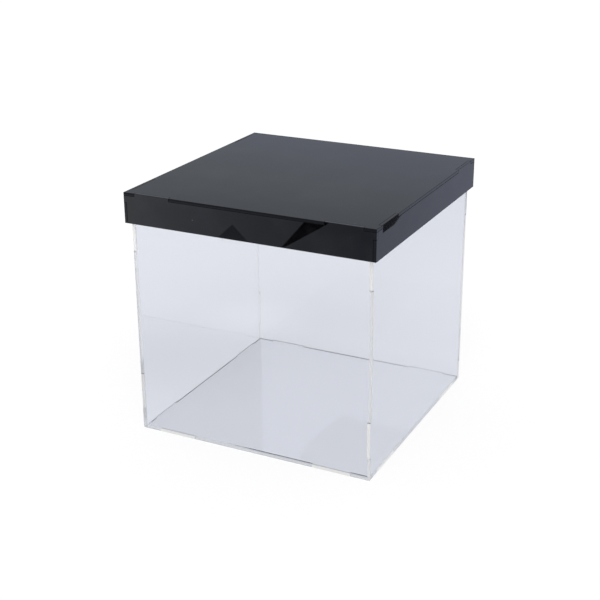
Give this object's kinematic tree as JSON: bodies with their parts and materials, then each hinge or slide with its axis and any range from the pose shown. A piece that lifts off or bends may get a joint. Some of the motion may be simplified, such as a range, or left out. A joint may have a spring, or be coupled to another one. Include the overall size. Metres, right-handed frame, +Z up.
{
  "type": "acrylic display cube",
  "caption": "Clear acrylic display case with finger-jointed walls and a black acrylic lid that lifts straight off to reach the space inside.",
  "frame": {"origin": "middle of the case's footprint, on the surface that it stands on", "axes": "+Z up through the lid, X along the front wall, +Y from the front wall to the back wall"},
  "size_m": [0.2594, 0.2594, 0.25],
  "materials": {
    "clear_acrylic": "polished",
    "black_acrylic": "polished"
  },
  "bodies": {
    "case": {"base_panel": "clear_acrylic", "front_panel": "clear_acrylic", "back_panel": "clear_acrylic", "left_panel": "clear_acrylic", "right_panel": "clear_acrylic"},
    "lid": {"lid_top_panel": "black_acrylic", "lid_front_skirt": "black_acrylic", "lid_back_skirt": "black_acrylic", "lid_left_skirt": "black_acrylic", "lid_right_skirt": "black_acrylic"}
  },
  "joints": [
    {"name": "lid_lift", "type": "slide", "parent": "case", "child": "lid", "axis": [0, 0, 1], "range_m": [0, 0.08]}
  ]
}
